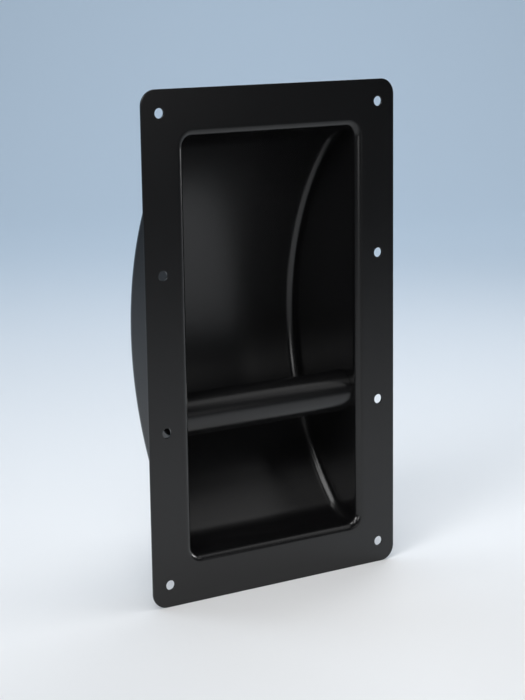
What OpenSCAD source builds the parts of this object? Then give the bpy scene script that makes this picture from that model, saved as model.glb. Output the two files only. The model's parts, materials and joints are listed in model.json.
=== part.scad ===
// Recessed steel bar handle for the side of a heavy cabinet.
// Frame: origin at the centre of the flange's back face, which seats on the panel.
// X runs across, Y into the cabinet and Z up. The visible front face lies at y = -sheet_t.

/* [Flange] */
// Width of the flange
flange_w = 150; // [130:1:180]
// Height of the flange
flange_h = 260; // [230:1:300]
// Radius of the flange's outer corners
flange_corner_r = 8; // [2:0.5:12]
// Thickness of the steel sheet, the same in the flange and the dish
sheet_t = 1.2; // [0.8:0.1:2]
// Rim from a side edge of the flange to the side wall of the dish
side_rim_w = 23.8; // [21:0.1:30]
// Rim from the top or bottom edge of the flange to the end wall of the dish
end_rim_w = 24; // [22:0.5:34]

/* [Screw holes] */
// Diameter of each screw hole
screw_hole_d = 5; // [3:0.1:6]
// Distance from a side edge of the flange to the centres of the holes beside it
screw_edge_x = 10; // [8:0.5:12]
// Distance from the top or bottom edge to the centres of the holes beside it
screw_edge_z = 11.5; // [8:0.5:13]
// Number of evenly spaced holes in each of the two columns
screw_rows = 4; // [2:1:6]

/* [Dish] */
// Depth from the flange's front face to the deepest point inside
dish_depth = 61.5; // [54:0.5:75]
// Visible radius where the flange turns into the dish
mouth_bend_r = 4; // [2.4:0.1:5]
// Flat strip of end wall between the mouth's bend and the fillet
end_wall_h = 0.4; // [0.3:0.1:6]
// Inner radius where the side walls meet the back and the end walls
wall_fillet_r = 5; // [3:0.5:7]
// Inner radius where the end walls run into the curved back
end_fillet_r = 24; // [12:0.5:28]

/* [Grip] */
// Outer diameter of the grip tube
grip_d = 22; // [16:0.5:25]
// Wall of the grip tube
grip_wall = 1.5; // [1:0.1:3]
// Flat strip of side wall between the mouth's bend and the hole for the tube
grip_inset = 0.5; // [0.4:0.1:8]
// Height of the grip's centre line from the middle of the flange, negative when below it
grip_z = -35.7; // [-60:0.1:60]
// Length of tube that stands out of each side wall
grip_stand_out = 2.6; // [2:0.1:4]
// Gap all round between the tube and its hole in the side wall
grip_gap = 0.1; // [0.05:0.05:0.3]

/* [Weld beads] */
// Leg of the weld bead that holds each tube end
weld_leg = 1.8; // [1:0.1:2]
// Arc of the tube that the bead covers, open towards the flange
weld_arc = 230; // [120:5:240]

/* [Hidden] */
$fn = 96;
corner_fn = 48;
back_fn = 360;

// Half sizes of the inner dish and its two outermost levels
half_w = flange_w / 2 - side_rim_w;
half_h = flange_h / 2 - end_rim_w;
front_y = -sheet_t;
deepest_y = front_y + dish_depth;

// Level of the mouth bend's centre line, and the axis of the fillet between an end wall and the back
bend_y = front_y + mouth_bend_r;
end_axis_y = bend_y + end_wall_h;
end_axis_z = half_h - end_fillet_r;

// Inner radius of the curved back, which touches both of those fillets and the deepest point.
// Its axis runs along X in front of the flange.
back_rise = deepest_y - end_axis_y;
back_r = (pow(back_rise, 2) + pow(end_axis_z, 2) - pow(end_fillet_r, 2)) / (2 * (back_rise - end_fillet_r));
back_axis_y = deepest_y - back_r;
end_angle = atan2(end_axis_z, end_axis_y - back_axis_y);

// Path that the mouth's bend follows
bend_half_w = half_w + mouth_bend_r;
bend_half_h = half_h + mouth_bend_r;
bend_corner_r = wall_fillet_r + mouth_bend_r;

// Middle of the outermost holes, and the step from hole to hole
screw_x = flange_w / 2 - screw_edge_x;
screw_z = flange_h / 2 - screw_edge_z;
screw_step = 2 * screw_z / (screw_rows - 1);

// Grip
grip_r = grip_d / 2;
grip_y = bend_y + grip_inset + grip_gap + grip_r;
grip_half_l = half_w + sheet_t + grip_stand_out;

// Overshoot of a cut past the face it opens
cut = 1;

// Step by which an end fillet lies inside the faces that it joins
seam = 0.02;

steel_black = [0.07, 0.07, 0.08];
grip_black = [0.10, 0.10, 0.11];
weld_black = [0.13, 0.13, 0.14];

// Rounded rectangle in the plane of the flange, from level y0 to level y1
module plate(half_x, half_z, corner_r, y0, y1) {
    translate([0, y1, 0])
        rotate([90, 0, 0])
            linear_extrude(height = y1 - y0)
                rounded_rectangle(half_x, half_z, corner_r);
}

// Flat rounded rectangle: two crossed bars and a circle in each corner
module rounded_rectangle(half_x, half_y, corner_r) {
    square([2 * half_x, 2 * (half_y - corner_r)], center = true);
    square([2 * (half_x - corner_r), 2 * half_y], center = true);
    for (sx = [-1, 1], sy = [-1, 1])
        translate([sx * (half_x - corner_r), sy * (half_y - corner_r)])
            circle(r = corner_r, $fn = corner_fn);
}

// Slice of a disc on an X-parallel axis through (y, z), as far as an angle on both sides of +Y.
// Its rim is rounded where it meets both side walls.
module rimmed_disc(disc_r, half_x, rim_r, y, z, half_angle) {
    translate([0, y, z])
        rotate([90, 0, 90])
            rotate([0, 0, -half_angle])
                rotate_extrude(angle = 2 * half_angle, $fn = disc_r > back_r / 2 ? back_fn : $fn)
                    intersection() {
                        rounded_rectangle(disc_r, half_x, rim_r);
                        translate([0, -half_x])
                            square([disc_r, 2 * half_x]);
                    }
}

// Everything deeper than level y
module deeper_than(y) {
    translate([-flange_w, y, -flange_h])
        cube([2 * flange_w, 2 * dish_depth, 2 * flange_h]);
}

// Dish behind the mouth's bend: its inside, or its outside when grown by the sheet's thickness.
// A narrow flat end wall, a wide fillet and the curved back follow one another tangentially.
module dish_form(grow) {
    half_x = half_w + grow;
    rim_r = wall_fillet_r + grow;
    plate(half_x, half_h + grow, rim_r, bend_y, end_axis_y);
    intersection() {
        rimmed_disc(back_r + grow, half_x, rim_r, back_axis_y, 0, end_angle);
        deeper_than(end_axis_y);
    }
    for (side = [-1, 1])
        intersection() {
            rimmed_disc(end_fillet_r + grow - seam, half_x - seam, rim_r, end_axis_y, side * end_axis_z, 180);
            deeper_than((bend_y + end_axis_y) / 2);
        }
}

// Round bar that follows the mouth: four straights and four quarter bends
module bend_bar(bar_r) {
    straight_x = bend_half_w - bend_corner_r;
    straight_z = bend_half_h - bend_corner_r;
    translate([0, bend_y, 0]) {
        for (sz = [-1, 1])
            translate([0, 0, sz * bend_half_h])
                rotate([0, 90, 0])
                    cylinder(r = bar_r, h = 2 * straight_x, center = true);
        for (sx = [-1, 1])
            translate([sx * bend_half_w, 0, 0])
                cylinder(r = bar_r, h = 2 * straight_z, center = true);
        for (turn = [0, 1], side = [0, 1])
            mirror([0, 0, turn])
                mirror([side, 0, 0])
                    translate([straight_x, 0, straight_z])
                        rotate([90, 0, 0])
                            rotate_extrude(angle = 90)
                                translate([bend_corner_r, 0])
                                    circle(r = bar_r, $fn = corner_fn);
    }
}

// Space in front of the mouth's bend
module mouth_flare() {
    difference() {
        plate(bend_half_w, bend_half_h, bend_corner_r, front_y - cut, bend_y);
        bend_bar(mouth_bend_r);
    }
}

// Metal behind the mouth's bend, where the flange turns into the outside of the dish
module mouth_skirt() {
    difference() {
        plate(bend_half_w, bend_half_h, bend_corner_r, front_y, bend_y);
        bend_bar(mouth_bend_r - sheet_t);
    }
}

// Two columns of evenly spaced holes through the flange
module screw_holes() {
    for (x = [-screw_x, screw_x], row = [0:screw_rows - 1])
        translate([x, cut, row * screw_step - screw_z])
            rotate([90, 0, 0])
                cylinder(d = screw_hole_d, h = sheet_t + 2 * cut);
}

// Flange, mouth and dish, drawn from one sheet
module pressed_dish() {
    color(steel_black)
        difference() {
            union() {
                plate(flange_w / 2, flange_h / 2, flange_corner_r, front_y, 0);
                mouth_skirt();
                dish_form(sheet_t);
            }
            dish_form(0);
            mouth_flare();
            screw_holes();
            translate([0, grip_y, grip_z])
                rotate([0, 90, 0])
                    cylinder(r = grip_r + grip_gap, h = 2 * grip_half_l, center = true);
        }
}

// Tube that the hand closes round, through both side walls and open at its ends
module grip_tube() {
    color(grip_black)
        translate([0, grip_y, grip_z])
            rotate([0, 90, 0])
                difference() {
                    cylinder(r = grip_r, h = 2 * grip_half_l, center = true);
                    cylinder(r = grip_r - grip_wall, h = 2 * (grip_half_l + cut), center = true);
                }
}

// Bead in the corner between a tube end and the outside of its side wall
module weld_bead(side) {
    color(weld_black)
        translate([side * (half_w + sheet_t), grip_y, grip_z])
            rotate([0, side * 90, 0])
                rotate([0, 0, 90 - weld_arc / 2])
                    rotate_extrude(angle = weld_arc)
                        translate([grip_r, 0])
                            intersection() {
                                circle(r = weld_leg, $fn = 32);
                                square(weld_leg);
                            }
}

module weld_bead_left() {
    weld_bead(-1);
}

module weld_bead_right() {
    weld_bead(1);
}

pressed_dish();
grip_tube();
weld_bead_left();
weld_bead_right();
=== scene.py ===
import json
from math import atan2, cos, pi, radians, sin, sqrt

import bmesh
import bpy
from mathutils import Euler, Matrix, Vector


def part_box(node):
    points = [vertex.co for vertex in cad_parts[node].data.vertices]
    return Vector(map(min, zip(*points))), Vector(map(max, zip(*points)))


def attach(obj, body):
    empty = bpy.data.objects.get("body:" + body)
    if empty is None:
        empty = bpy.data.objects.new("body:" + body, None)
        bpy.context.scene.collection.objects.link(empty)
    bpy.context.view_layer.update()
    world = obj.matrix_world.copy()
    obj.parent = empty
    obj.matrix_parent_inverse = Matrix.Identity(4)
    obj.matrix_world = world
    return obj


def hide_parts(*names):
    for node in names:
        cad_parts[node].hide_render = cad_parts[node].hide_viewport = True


# Recessed bar handle: one pressed steel sheet, a grip tube through its side walls
# and a weld bead at each tube end.
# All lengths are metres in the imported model's frame: X across, Y into the cabinet, Z up.

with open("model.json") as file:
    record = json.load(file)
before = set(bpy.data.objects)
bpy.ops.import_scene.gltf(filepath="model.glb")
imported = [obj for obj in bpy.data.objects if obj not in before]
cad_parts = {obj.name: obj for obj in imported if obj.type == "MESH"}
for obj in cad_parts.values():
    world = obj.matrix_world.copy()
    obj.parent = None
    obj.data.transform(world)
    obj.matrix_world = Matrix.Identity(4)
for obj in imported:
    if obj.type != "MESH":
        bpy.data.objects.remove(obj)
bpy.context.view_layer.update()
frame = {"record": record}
mm = 0.001
scene = bpy.context.scene

# Camera: it stands in front on the left and looks slightly down
view = {
    "place": (-0.49902, -0.76748, 0.17899),
    "tiltDeg": (78.6229, 0.7800, -32.8063),
    "lensMm": 93.74,
    "sensorMm": 36,
    "clip": (0.05, 100),
}


def makeCamera():
    data = bpy.data.cameras.new("photoCamera")
    data.sensor_width = view["sensorMm"]
    data.lens = view["lensMm"]
    data.clip_start, data.clip_end = view["clip"]
    camera = bpy.data.objects.new("photoCamera", data)
    camera.location = view["place"]
    camera.rotation_euler = Euler([radians(turn) for turn in view["tiltDeg"]])
    scene.collection.objects.link(camera)
    scene.camera = camera


makeCamera()
print("camera placed")


# Small helpers for node trees
def addNode(tree, kind, **settings):
    node = tree.nodes.new(kind)
    for key, value in settings.items():
        setattr(node, key, value)
    return node


def fillSockets(node, **values):
    for name, value in values.items():
        node.inputs[name].default_value = value


def mathNode(tree, operation, *values):
    # A Math node whose inputs are sockets or plain numbers; returns its output
    node = addNode(tree, "ShaderNodeMath", operation=operation)
    for i, value in enumerate(values):
        if isinstance(value, (int, float)):
            node.inputs[i].default_value = value
        else:
            tree.links.new(value, node.inputs[i])
    return node.outputs[0]


# Satin black powder coat, the same on every piece but for its tone
coat = {
    "dishTone": (0.0036, 0.0036, 0.0039),
    "gripTone": (0.0040, 0.0040, 0.0043),
    "weldTone": (0.0038, 0.0038, 0.0041),
    "toneSpread": 0.25,
    "refraction": 1.5,
    "roughness": 0.24,
    "roughnessSpread": 0.02,
    "peelScale": 620,        # waves of the orange peel, per metre
    "peelHeight": 0.011 * mm,
    "grainScale": 3400,      # fine grain of the powder, per metre
    "grainHeight": 0.0015 * mm,
    "cloudScale": 26,        # slow change of tone and gloss, per metre
}


def noiseNode(tree, place, scale, detail, roughness):
    node = addNode(tree, "ShaderNodeTexNoise")
    fillSockets(node, Scale=scale, Detail=detail, Roughness=roughness)
    tree.links.new(place, node.inputs["Vector"])
    return node.outputs["Fac"]


def bumpNode(tree, height, distance):
    node = addNode(tree, "ShaderNodeBump")
    fillSockets(node, Strength=1.0, Distance=distance)
    tree.links.new(height, node.inputs["Height"])
    return node


def powderCoat(name, tone):
    material = bpy.data.materials.new(name)
    material.use_nodes = True
    tree = material.node_tree
    link = tree.links.new
    shader = tree.nodes["Principled BSDF"]
    shader.inputs["IOR"].default_value = coat["refraction"]
    place = addNode(tree, "ShaderNodeTexCoord").outputs["Object"]
    cloud = noiseNode(tree, place, scale=coat["cloudScale"], detail=3.0, roughness=0.55)
    grain = noiseNode(tree, place, scale=coat["grainScale"], detail=1.0, roughness=0.5)
    peel = noiseNode(tree, place, scale=coat["peelScale"], detail=1.5, roughness=0.45)

    tint = addNode(tree, "ShaderNodeMix", data_type="RGBA")
    for socket, share in (("A", 1 - coat["toneSpread"]), ("B", 1 + coat["toneSpread"])):
        tint.inputs[socket].default_value = (*[channel * share for channel in tone], 1)
    link(cloud, tint.inputs["Factor"])
    link(tint.outputs["Result"], shader.inputs["Base Color"])

    # Half the change in gloss comes from the clouds, and half from the grain
    gloss = addNode(tree, "ShaderNodeMapRange")
    gloss.inputs["To Min"].default_value = coat["roughness"] - coat["roughnessSpread"]
    gloss.inputs["To Max"].default_value = coat["roughness"] + coat["roughnessSpread"]
    halfGrain = mathNode(tree, "MULTIPLY", grain, 0.5)
    link(mathNode(tree, "MULTIPLY_ADD", cloud, 0.5, halfGrain), gloss.inputs["Value"])
    link(gloss.outputs["Result"], shader.inputs["Roughness"])

    peelBump = bumpNode(tree, peel, coat["peelHeight"])
    grainBump = bumpNode(tree, grain, coat["grainHeight"])
    link(peelBump.outputs["Normal"], grainBump.inputs["Normal"])
    link(grainBump.outputs["Normal"], shader.inputs["Normal"])
    return material


dishBlack = powderCoat("satinBlackDish", coat["dishTone"])
gripBlack = powderCoat("satinBlackGrip", coat["gripTone"])
weldBlack = powderCoat("satinBlackWeld", coat["weldTone"])
print("powder coat mixed")

# Pressed dish: what a user may change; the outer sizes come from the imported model
pressing = {
    "sideRim": 23.8 * mm,       # flange edge to side wall
    "endRim": 24.0 * mm,        # flange edge to end wall
    "outlineRadius": 8.0 * mm,
    "mouthBend": 4.0 * mm,
    "wallFillet": 5.0 * mm,
    "endFillet": 24.0 * mm,
    "endWall": 0.4 * mm,        # flat strip between the mouth's bend and that fillet
    "tubeHoleGap": 0.1 * mm,
    "coatEdge": 0.22 * mm,      # radius of the coat over each cut edge
    "coatEdgeSteps": 3,
    "cutEdgeDeg": 55,           # a turn sharper than this is a cut edge
    "flatStrip": 0.45 * mm,     # narrow flat beside each bend, which keeps the shading true
    "wallStrip": 0.15 * mm,     # the same between the mouth's bend and the tube's hole
    "tubeHoleStrip": 0.25 * mm,
    "near": 0.001 * mm,         # points closer than this are one point
    "filletSteps": 12,
    "endFilletSteps": 18,
    "backSteps": 28,            # from the end fillet to the middle of the back
    "straightSteps": 8,
    "outlineSteps": 16,
    "screwHoleSteps": 40,
    "tubeHoleSteps": 72,
}


class Pressing:
    def __init__(self):
        low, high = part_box("pressed_dish")
        self.sheet = -low.y
        self.frontY = low.y
        self.halfFlange = (high.x, high.z)
        self.halfW = high.x - pressing["sideRim"]
        self.halfH = high.z - pressing["endRim"]
        self.deepest = high.y - self.sheet
        self.bendY = self.frontY + pressing["mouthBend"]
        self.coreX = self.halfW - pressing["wallFillet"]
        self.coreZ = self.halfH - pressing["wallFillet"]
        # The back's arc touches both end fillets and the deepest point
        self.endAxisY = self.bendY + pressing["endWall"]
        self.endAxisZ = self.halfH - pressing["endFillet"]
        rise = self.deepest - self.endAxisY
        fillet = pressing["endFillet"]
        reach = rise ** 2 + self.endAxisZ ** 2 - fillet ** 2
        self.backRadius = reach / (2 * (rise - fillet))
        self.backAxisY = self.deepest - self.backRadius
        self.endAngle = atan2(self.endAxisZ, self.endAxisY - self.backAxisY)
        tubeLow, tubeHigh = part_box("grip_tube")
        self.tubeRadius = (tubeHigh.z - tubeLow.z) / 2
        self.tubeY = (tubeHigh.y + tubeLow.y) / 2
        self.tubeZ = (tubeHigh.z + tubeLow.z) / 2
        self.tubeHalfLength = tubeHigh.x
        self.tubeHoleRadius = self.tubeRadius + pressing["tubeHoleGap"]


form = Pressing()


def steps(start, end, count):
    return [start + (end - start) * i / count for i in range(count + 1)]


def backProfile():
    # Points (y, z) of the dish's inside from the upper end wall to the lower,
    # each with its normal into the dish
    points = [(form.bendY + pressing["wallStrip"], form.halfH, 0.0, -1.0)]
    for angle in steps(pi / 2, form.endAngle, pressing["endFilletSteps"]):
        y = form.endAxisY + pressing["endFillet"] * cos(angle)
        z = form.endAxisZ + pressing["endFillet"] * sin(angle)
        points.append((y, z, -cos(angle), -sin(angle)))
    for angle in steps(form.endAngle, 0, pressing["backSteps"])[1:]:
        y = form.backAxisY + form.backRadius * cos(angle)
        z = form.backRadius * sin(angle)
        points.append((y, z, -cos(angle), -sin(angle)))
    lower = [(y, -z, normalY, -normalZ) for y, z, normalY, normalZ in reversed(points[:-1])]
    return points + lower


def alongStraight(half):
    # Places from half to -half, with a narrow strip at both ends
    inner = half - pressing["flatStrip"]
    return [half] + steps(inner, -inner, pressing["straightSteps"]) + [-half]


def dishColumns():
    # (x, distance from the back's profile) across the whole dish, wall strip to wall strip
    fillet = pressing["wallFillet"]
    angles = steps(0, pi / 2, pressing["filletSteps"])
    right = [(form.halfW, fillet + pressing["flatStrip"])]
    right += [(form.coreX + fillet * cos(a), fillet - fillet * sin(a)) for a in angles]
    left = [(-x, away) for x, away in reversed(right)]
    return right + [(x, 0.0) for x in alongStraight(form.coreX)[1:-1]] + left


def mouthPath():
    # Core points and outward directions round the mouth, counter-clockwise from the
    # top of the right-hand wall
    coreX, coreZ = form.coreX, form.coreZ
    angles = steps(0, pi / 2, pressing["filletSteps"])
    path = [(coreX, coreZ, cos(a), sin(a)) for a in angles]
    path += [(x, coreZ, 0.0, 1.0) for x in alongStraight(coreX)[1:]]
    path += [(-coreX, coreZ, -sin(a), cos(a)) for a in angles[1:]]
    path += [(-coreX, z, -1.0, 0.0) for z in alongStraight(coreZ)[1:]]
    path += [(-coreX, -coreZ, -cos(a), -sin(a)) for a in angles[1:]]
    path += [(-x, -coreZ, 0.0, -1.0) for x in alongStraight(coreX)[1:]]
    path += [(coreX, -coreZ, sin(a), -cos(a)) for a in angles[1:]]
    path += [(coreX, -z, 1.0, 0.0) for z in alongStraight(coreZ)[1:-1]]
    return path


def addStrip(mesh, rows, closed):
    # Quads between neighbouring rows of points; closed joins each row's end to its start
    made = [[mesh.verts.new(point) for point in row] for row in rows]
    count = len(rows[0])
    for upper, lower in zip(made, made[1:]):
        for i in range(count if closed else count - 1):
            j = (i + 1) % count
            mesh.faces.new((upper[i], upper[j], lower[j], lower[i]))


def addMouthBend(mesh):
    fillet = pressing["wallFillet"]
    bend = pressing["mouthBend"]
    section = [(fillet, form.bendY + pressing["wallStrip"])]
    for a in steps(pi / 2, 0, pressing["filletSteps"]):
        section.append((fillet + bend - bend * sin(a), form.bendY - bend * cos(a)))
    section.append((fillet + bend + pressing["flatStrip"], form.frontY))
    rows = []
    for away, y in section:
        rows.append([(x + outX * away, y, z + outZ * away) for x, z, outX, outZ in mouthPath()])
    addStrip(mesh, rows, True)


def addDishInside(mesh):
    rows = []
    for y, z, normalY, normalZ in backProfile():
        rows.append([(x, y + normalY * away, z + normalZ * away) for x, away in dishColumns()])
    addStrip(mesh, rows, False)


def addHoleEdge(mesh, place, radius, strip, count):
    # Ring of quads round a hole; place turns an angle and a radius into a point
    angles = [2 * pi * i / count for i in range(count)]
    addStrip(mesh, [[place(a, radius + extra) for a in angles] for extra in (0, strip)], True)


def addOutline(mesh):
    halfX, halfZ = form.halfFlange
    radius = pressing["outlineRadius"]
    coreX = halfX - radius
    coreZ = halfZ - radius
    corners = [(coreX, coreZ), (-coreX, coreZ), (-coreX, -coreZ), (coreX, -coreZ)]
    rows = []
    for away in (radius - pressing["flatStrip"], radius):
        row = []
        for quarter, (x, z) in enumerate(corners):
            for a in steps(quarter * pi / 2, (quarter + 1) * pi / 2, pressing["outlineSteps"]):
                row.append((x + away * cos(a), form.frontY, z + away * sin(a)))
        rows.append(row)
    addStrip(mesh, rows, True)


def screwPlaces():
    places = []
    for mount in frame["record"]["mounts"]:
        if mount["kind"] == "bolt_pattern":
            halfX = mount["dims"]["spacing_x_mm"] * mm / 2
            halfZ = mount["dims"]["spacing_y_mm"] * mm / 2
            radius = mount["dims"]["hole_r_mm"] * mm
            places += [(sx * halfX, sz * halfZ, radius) for sx in (-1, 1) for sz in (-1, 1)]
    return places


def fillFlat(mesh, inPlane, isRim, normal):
    # Fills the flat between the open edges that lie in one plane, apart from the rims,
    # which stay open
    edges = []
    for edge in mesh.edges:
        if edge.is_boundary and all(inPlane(v.co) for v in edge.verts):
            middle = (edge.verts[0].co + edge.verts[1].co) / 2
            if not isRim(middle):
                edges.append(edge)
    bmesh.ops.triangle_fill(
        mesh, use_beauty=True, use_dissolve=False, edges=edges, normal=normal
    )


def onScrewRim(point):
    reach = pressing["flatStrip"] / 2
    spots = screwPlaces()
    return any(Vector((point.x - x, point.z - z)).length < r + reach for x, z, r in spots)


def onOutline(point):
    halfX, halfZ = form.halfFlange
    radius = pressing["outlineRadius"]
    reach = radius - pressing["flatStrip"] / 2
    outX = abs(point.x) - (halfX - radius)
    outZ = abs(point.z) - (halfZ - radius)
    if outX > 0 and outZ > 0:
        return sqrt(outX ** 2 + outZ ** 2) > reach
    return max(outX, outZ) > reach


def onTubeRim(point):
    away = Vector((point.y - form.tubeY, point.z - form.tubeZ)).length
    return away < form.tubeHoleRadius + pressing["tubeHoleStrip"] / 2


def sheetFront():
    # The sheet's visible side: flange, mouth bend, walls and back as one surface
    mesh = bmesh.new()
    addMouthBend(mesh)
    addDishInside(mesh)
    addOutline(mesh)
    for x, z, radius in screwPlaces():
        def onFlange(a, r):
            return (x + r * cos(a), form.frontY, z + r * sin(a))
        addHoleEdge(mesh, onFlange, radius, pressing["flatStrip"], pressing["screwHoleSteps"])
    for side in (-1, 1):
        def onWall(a, r):
            return (side * form.halfW, form.tubeY + r * cos(a), form.tubeZ + r * sin(a))
        strip = pressing["tubeHoleStrip"]
        addHoleEdge(mesh, onWall, form.tubeHoleRadius, strip, pressing["tubeHoleSteps"])
    near = pressing["near"]
    bmesh.ops.remove_doubles(mesh, verts=mesh.verts, dist=near)

    fillFlat(
        mesh,
        lambda p: abs(p.y - form.frontY) < near,
        lambda p: onScrewRim(p) or onOutline(p),
        (0, -1, 0),
    )
    for side in (-1, 1):
        fillFlat(
            mesh,
            lambda p: abs(p.x - side * form.halfW) < near,
            onTubeRim,
            (-side, 0, 0),
        )
    bmesh.ops.recalc_face_normals(mesh, faces=mesh.faces)
    flangeFace = min(mesh.faces, key=lambda f: f.calc_center_median().y)
    if flangeFace.normal.y > 0:
        bmesh.ops.reverse_faces(mesh, faces=mesh.faces)
    for face in mesh.faces:
        face.smooth = True
    data = bpy.data.meshes.new("sheetFront")
    mesh.to_mesh(data)
    mesh.free()
    return data


def plainMesh(source, name):
    # The evaluated object as a mesh without modifiers
    graph = bpy.context.evaluated_depsgraph_get()
    data = bpy.data.meshes.new_from_object(source.evaluated_get(graph))
    data.name = name
    made = bpy.data.objects.new(name, data)
    scene.collection.objects.link(made)
    bpy.data.objects.remove(source)
    return made


def makePressedDish():
    sheet = bpy.data.objects.new("sheetFront", sheetFront())
    scene.collection.objects.link(sheet)
    thick = sheet.modifiers.new("sheetThickness", "SOLIDIFY")
    thick.thickness = form.sheet
    thick.offset = -1
    thick.use_even_offset = True
    thick.use_quality_normals = True
    soften = sheet.modifiers.new("coatedEdges", "BEVEL")
    soften.width = pressing["coatEdge"]
    soften.segments = pressing["coatEdgeSteps"]
    soften.limit_method = "ANGLE"
    soften.angle_limit = radians(pressing["cutEdgeDeg"])
    soften.use_clamp_overlap = False
    settle = sheet.modifiers.new("flatShading", "WEIGHTED_NORMAL")
    settle.keep_sharp = True
    return plainMesh(sheet, "pressedDish")


pressedDish = makePressedDish()
pressedDish.data.materials.append(dishBlack)
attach(pressedDish, "root")
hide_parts("pressed_dish")
print("pressed dish:", len(pressedDish.data.polygons), "faces")


# Geometry Nodes helpers
def newTree(name, values):
    # A tree with one named input for each value, which is also the input's default
    tree = bpy.data.node_groups.new(name, "GeometryNodeTree")
    tree.interface.new_socket("Geometry", in_out="INPUT", socket_type="NodeSocketGeometry")
    kinds = {int: "NodeSocketInt", float: "NodeSocketFloat", tuple: "NodeSocketVector"}
    for label, value in values.items():
        kind = kinds[type(value)]
        socket = tree.interface.new_socket(label, in_out="INPUT", socket_type=kind)
        socket.default_value = value
    tree.interface.new_socket("Geometry", in_out="OUTPUT", socket_type="NodeSocketGeometry")
    given = tree.nodes.new("NodeGroupInput")
    return tree, given.outputs


def growPiece(name, tree, values):
    # Runs a tree on an empty mesh with these input values, and returns a plain mesh
    data = bpy.data.meshes.new(name + "Seed")
    seedObject = bpy.data.objects.new(name + "Seed", data)
    scene.collection.objects.link(seedObject)
    modifier = seedObject.modifiers.new("shape", "NODES")
    modifier.node_group = tree
    for socket in tree.interface.items_tree:
        if socket.in_out == "INPUT" and socket.name in values:
            modifier[socket.identifier] = values[socket.name]
    seedObject.modifiers.new("flatShading", "WEIGHTED_NORMAL")
    return plainMesh(seedObject, name)


def finishTree(tree, geometry, material):
    # Smooth shading, real geometry and the material end each tree
    link = tree.links.new
    smooth = tree.nodes.new("GeometryNodeSetShadeSmooth")
    real = tree.nodes.new("GeometryNodeRealizeInstances")
    paint = tree.nodes.new("GeometryNodeSetMaterial")
    paint.inputs["Material"].default_value = material
    result = tree.nodes.new("NodeGroupOutput")
    link(geometry, smooth.inputs["Geometry"])
    link(smooth.outputs["Geometry"], real.inputs["Geometry"])
    link(real.outputs["Geometry"], paint.inputs["Geometry"])
    link(paint.outputs["Geometry"], result.inputs["Geometry"])


# Grip tube: a rounded bar section swept round the tube's axis
grip = {
    "wall": 1.5 * mm,
    "endRounding": 0.3 * mm,
    "roundingSteps": 5,
    "sides": 192,
}


def gripTubeTree(values):
    tree, given = newTree("gripTubeShape", values)
    link = tree.links.new
    path = addNode(tree, "GeometryNodeCurvePrimitiveCircle", mode="RADIUS")
    link(given["Sides"], path.inputs["Resolution"])
    middle = mathNode(tree, "MULTIPLY_ADD", given["Wall"], -0.5, given["Radius"])
    link(middle, path.inputs["Radius"])
    section = addNode(tree, "GeometryNodeCurvePrimitiveQuadrilateral", mode="RECTANGLE")
    link(given["Wall"], section.inputs["Width"])
    link(given["Length"], section.inputs["Height"])
    rounded = addNode(tree, "GeometryNodeFilletCurve", mode="POLY")
    rounded.inputs["Limit Radius"].default_value = True
    link(given["Rounding steps"], rounded.inputs["Count"])
    link(given["End rounding"], rounded.inputs["Radius"])
    link(section.outputs["Curve"], rounded.inputs["Curve"])
    swept = addNode(tree, "GeometryNodeCurveToMesh")
    link(path.outputs["Curve"], swept.inputs["Curve"])
    link(rounded.outputs["Curve"], swept.inputs["Profile Curve"])
    # The tube stands along Z; turning it lays its axis along X
    turned = addNode(tree, "GeometryNodeTransform")
    turned.inputs["Rotation"].default_value = (0, pi / 2, 0)
    link(swept.outputs["Mesh"], turned.inputs["Geometry"])
    link(given["Centre"], turned.inputs["Translation"])
    finishTree(tree, turned.outputs["Geometry"], gripBlack)
    return tree


gripValues = {
    "Radius": form.tubeRadius,
    "Wall": grip["wall"],
    "Length": 2 * form.tubeHalfLength,
    "End rounding": grip["endRounding"],
    "Rounding steps": grip["roundingSteps"],
    "Sides": grip["sides"],
    "Centre": (0.0, form.tubeY, form.tubeZ),
}
gripTube = growPiece("gripTube", gripTubeTree(gripValues), gripValues)
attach(gripTube, "root")
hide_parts("grip_tube")
print("grip tube:", len(gripTube.data.polygons), "faces")

# Weld beads: a rippled bead swept along part of the tube's circumference
bead = {
    "leg": 1.8 * mm,
    "centreShift": 0.22,      # share of the leg, out of the corner in both directions
    "bodyRadius": 0.72,       # share of the leg
    "arcDeg": 230,
    "ripples": 30,
    "rippleHeight": 0.09,     # share of the body's radius
    "rippleBase": 0.93,       # the same, where a ripple is lowest
    "wander": 0.07,           # uneven hand, share of the body's radius
    "wanderWaves": 11.0,      # along the whole bead
    "endThickness": 0.15,     # squared share of the radius at both ends
    "endGrowth": 40.0,        # how fast that share grows along the bead
    "stepsAlong": 300,
    "stepsRound": 20,
    "seed": 7,
}


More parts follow.
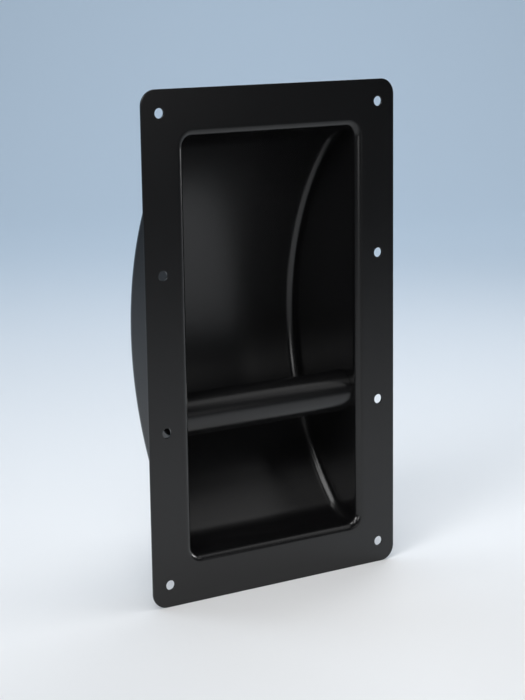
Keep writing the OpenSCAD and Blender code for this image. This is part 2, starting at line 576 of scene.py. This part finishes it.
def beadThickness(tree, given):
    # The body's radius along the path: ripples like laid coins, an uneven hand, tapered ends
    def calc(operation, *values):
        return mathNode(tree, operation, *values)

    along = addNode(tree, "GeometryNodeSplineParameter").outputs["Factor"]
    phase = calc("FRACT", calc("MULTIPLY", along, given["Ripples"]))
    coin = calc("SQRT", calc("SUBTRACT", 1.0, calc("POWER", phase, 2.0)))
    rippled = calc("MULTIPLY_ADD", coin, given["Ripple height"], bead["rippleBase"])
    noise = addNode(tree, "ShaderNodeTexNoise", noise_dimensions="1D")
    noise.inputs["Scale"].default_value = 1.0
    place = calc("MULTIPLY_ADD", along, bead["wanderWaves"], given["Seed"])
    tree.links.new(place, noise.inputs["W"])
    uneven = calc("MULTIPLY", calc("SUBTRACT", noise.outputs["Fac"], 0.5), given["Wander"])
    fromMiddle = calc("ABSOLUTE", calc("SUBTRACT", along, 0.5))
    fromEnd = calc("SUBTRACT", 0.5, fromMiddle)
    growth = calc("MULTIPLY_ADD", fromEnd, bead["endGrowth"], bead["endThickness"])
    taper = calc("SQRT", calc("MINIMUM", growth, 1.0))
    share = calc("MULTIPLY", calc("ADD", rippled, uneven), taper)
    return calc("MULTIPLY", share, calc("MULTIPLY", given["Leg"], bead["bodyRadius"]))


def weldBeadTree(values):
    tree, given = newTree("weldBeadShape", values)
    link = tree.links.new
    # Path: an arc round the tube, symmetrical about its middle
    arc = addNode(tree, "GeometryNodeCurveArc", mode="RADIUS")
    link(given["Steps"], arc.inputs["Resolution"])
    shift = mathNode(tree, "MULTIPLY", given["Leg"], bead["centreShift"])
    link(mathNode(tree, "ADD", shift, given["Tube radius"]), arc.inputs["Radius"])
    link(mathNode(tree, "MULTIPLY", given["Arc"], -0.5), arc.inputs["Start Angle"])
    link(given["Arc"], arc.inputs["Sweep Angle"])
    section = addNode(tree, "GeometryNodeCurvePrimitiveCircle", mode="RADIUS")
    section.inputs["Resolution"].default_value = bead["stepsRound"]
    section.inputs["Radius"].default_value = 1.0     # the swept scale gives the true radius
    swept = addNode(tree, "GeometryNodeCurveToMesh")
    swept.inputs["Fill Caps"].default_value = True
    link(arc.outputs["Curve"], swept.inputs["Curve"])
    link(section.outputs["Curve"], swept.inputs["Profile Curve"])
    link(beadThickness(tree, given), swept.inputs["Scale"])
    # The arc lies in XY; turning it puts its middle on +Y and its axis along X
    turned = addNode(tree, "GeometryNodeTransform")
    turned.inputs["Rotation"].default_value = (pi / 2, 0, pi / 2)
    link(swept.outputs["Mesh"], turned.inputs["Geometry"])
    outward = addNode(tree, "ShaderNodeCombineXYZ")
    link(mathNode(tree, "MULTIPLY", shift, given["Side"]), outward.inputs["X"])
    total = addNode(tree, "ShaderNodeVectorMath", operation="ADD")
    link(outward.outputs["Vector"], total.inputs[0])
    link(given["Centre"], total.inputs[1])
    link(total.outputs["Vector"], turned.inputs["Translation"])
    finishTree(tree, turned.outputs["Geometry"], weldBlack)
    return tree


def beadValues(side):
    return {
        "Tube radius": form.tubeRadius,
        "Leg": bead["leg"],
        "Arc": radians(bead["arcDeg"]),
        "Ripples": float(bead["ripples"]),
        "Ripple height": bead["rippleHeight"],
        "Wander": bead["wander"],
        "Steps": bead["stepsAlong"],
        "Seed": float(bead["seed"] + side),
        "Side": float(side),
        "Centre": (side * (form.halfW + form.sheet), form.tubeY, form.tubeZ),
    }


beadTree = weldBeadTree(beadValues(1))
beadNames = (
    (-1, "weld_bead_left", "weldBeadLeft"),
    (1, "weld_bead_right", "weldBeadRight"),
)
for side, nodeName, pieceName in beadNames:
    weldBead = growPiece(pieceName, beadTree, beadValues(side))
    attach(weldBead, "root")
    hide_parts(nodeName)
    print(pieceName + ":", len(weldBead.data.polygons), "faces")

# Floor, light and surroundings
studio = {
    "floorTone": (0.80, 0.81, 0.82),
    "floorRoughness": 0.7,
    "floorGloss": 0.2,
    "frontReach": 6.0,        # floor on the camera's side of the part
    "backReach": 1.5,         # floor behind the part, before it curves up into a wall
    "curveRadius": 1.5,
    "curveSteps": 24,
    "wallTop": 6.0,
    "halfWidth": 9.0,
    "airTone": (0.018, 0.020, 0.024),
    "lightAim": (0.0, 0.0, -0.02),
    "lightTone": (1.0, 1.0, 1.0),
    "lightSpreadDeg": 80,
}
# Soft panels; what isn't stated for one comes from the studio above
softLights = {
    "overhead": {
        "place": (0.0, -0.06, 0.85), "size": (0.45, 0.45), "watts": 1.4,
        "aim": (0.0, -0.06, -0.13), "spreadDeg": 120,
    },
    "highLeft": {"place": (-0.66, -0.66, 1.13), "size": (1.0, 0.5), "watts": 1.4},
    "sideLeft": {"place": (-1.18, -0.55, 0.73), "size": (0.55, 0.5), "watts": 1.4},
    "lowLeft": {"place": (-0.74, -1.28, 0.24), "size": (0.55, 0.5), "watts": 0.6},
    "highRight": {"place": (0.88, -0.38, 1.13), "size": (0.9, 0.5), "watts": 0.22},
    "sideRight": {"place": (1.05, -0.76, 0.73), "size": (0.55, 0.5), "watts": 0.16},
    "lowRight": {"place": (1.45, -0.26, 0.24), "size": (0.55, 0.5), "watts": 1.4},
    "lowFront": {"place": (0.45, -1.41, 0.24), "size": (0.55, 0.5), "watts": 0.12},
    "rearLeft": {
        "place": (-0.7, 0.95, 0.9), "size": (0.7, 0.5), "watts": 1.5,
        "aim": (-0.1, 0.1, 0.0), "spreadDeg": 110, "tone": (0.80, 0.90, 1.0),
    },
    "rearRight": {
        "place": (1.05, 0.85, 0.85), "size": (0.9, 0.5), "watts": 1.1,
        "aim": (0.0, 0.03, 0.0),
    },
    "backdrop": {
        "place": (0.55, 0.85, 1.5), "size": (1.6, 0.8), "watts": 26.0,
        "aim": (1.4, 2.15, 0.1), "spreadDeg": 180, "tone": (0.62, 0.80, 1.0),
    },
}


def floorProfile():
    # (reach away from the camera, height): floor, curve and wall
    radius = studio["curveRadius"]
    reach = studio["backReach"]
    profile = [(-studio["frontReach"], 0.0)]
    for a in steps(0, pi / 2, studio["curveSteps"]):
        profile.append((reach + radius * sin(a), radius - radius * cos(a)))
    profile.append((reach + radius, studio["wallTop"]))
    return profile


def makeFloor():
    # One sheet: a floor under the part that curves up into a wall far behind it,
    # square to the camera's line
    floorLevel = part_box("pressed_dish")[0].z
    away = -Vector((view["place"][0], view["place"][1], 0)).normalized()
    across = Vector((-away.y, away.x, 0))
    corners = []
    for reach, height in floorProfile():
        for side in (-1, 1):
            spot = away * reach + across * side * studio["halfWidth"]
            corners.append((spot.x, spot.y, floorLevel + height))
    faces = [(i, i + 1, i + 3, i + 2) for i in range(0, len(corners) - 2, 2)]
    data = bpy.data.meshes.new("paleFloor")
    data.from_pydata(corners, [], faces)
    for face in data.polygons:
        face.use_smooth = True
    floor = bpy.data.objects.new("paleFloor", data)
    scene.collection.objects.link(floor)
    material = bpy.data.materials.new("paleFloor")
    material.use_nodes = True
    shader = material.node_tree.nodes["Principled BSDF"]
    shader.inputs["Base Color"].default_value = (*studio["floorTone"], 1)
    shader.inputs["Roughness"].default_value = studio["floorRoughness"]
    shader.inputs["Specular IOR Level"].default_value = studio["floorGloss"]
    data.materials.append(material)


def makeSoftLight(name, settings):
    data = bpy.data.lights.new(name, "AREA")
    data.shape = "RECTANGLE"
    data.size, data.size_y = settings["size"]
    data.energy = settings["watts"]
    data.spread = radians(settings.get("spreadDeg", studio["lightSpreadDeg"]))
    data.color = settings.get("tone", studio["lightTone"])
    light = bpy.data.objects.new(name, data)
    light.location = settings["place"]
    aim = Vector(settings.get("aim", studio["lightAim"]))
    line = aim - Vector(settings["place"])
    light.rotation_euler = line.to_track_quat("-Z", "Y").to_euler()
    light.visible_camera = False
    scene.collection.objects.link(light)


def makeAir():
    world = bpy.data.worlds.new("studioAir")
    world.use_nodes = True
    background = world.node_tree.nodes["Background"]
    background.inputs["Color"].default_value = (*studio["airTone"], 1)
    background.inputs["Strength"].default_value = 1.0
    scene.world = world
    scene.view_settings.view_transform = "Standard"


makeFloor()
for name, settings in softLights.items():
    makeSoftLight(name, settings)
makeAir()
print("floor and lights placed")
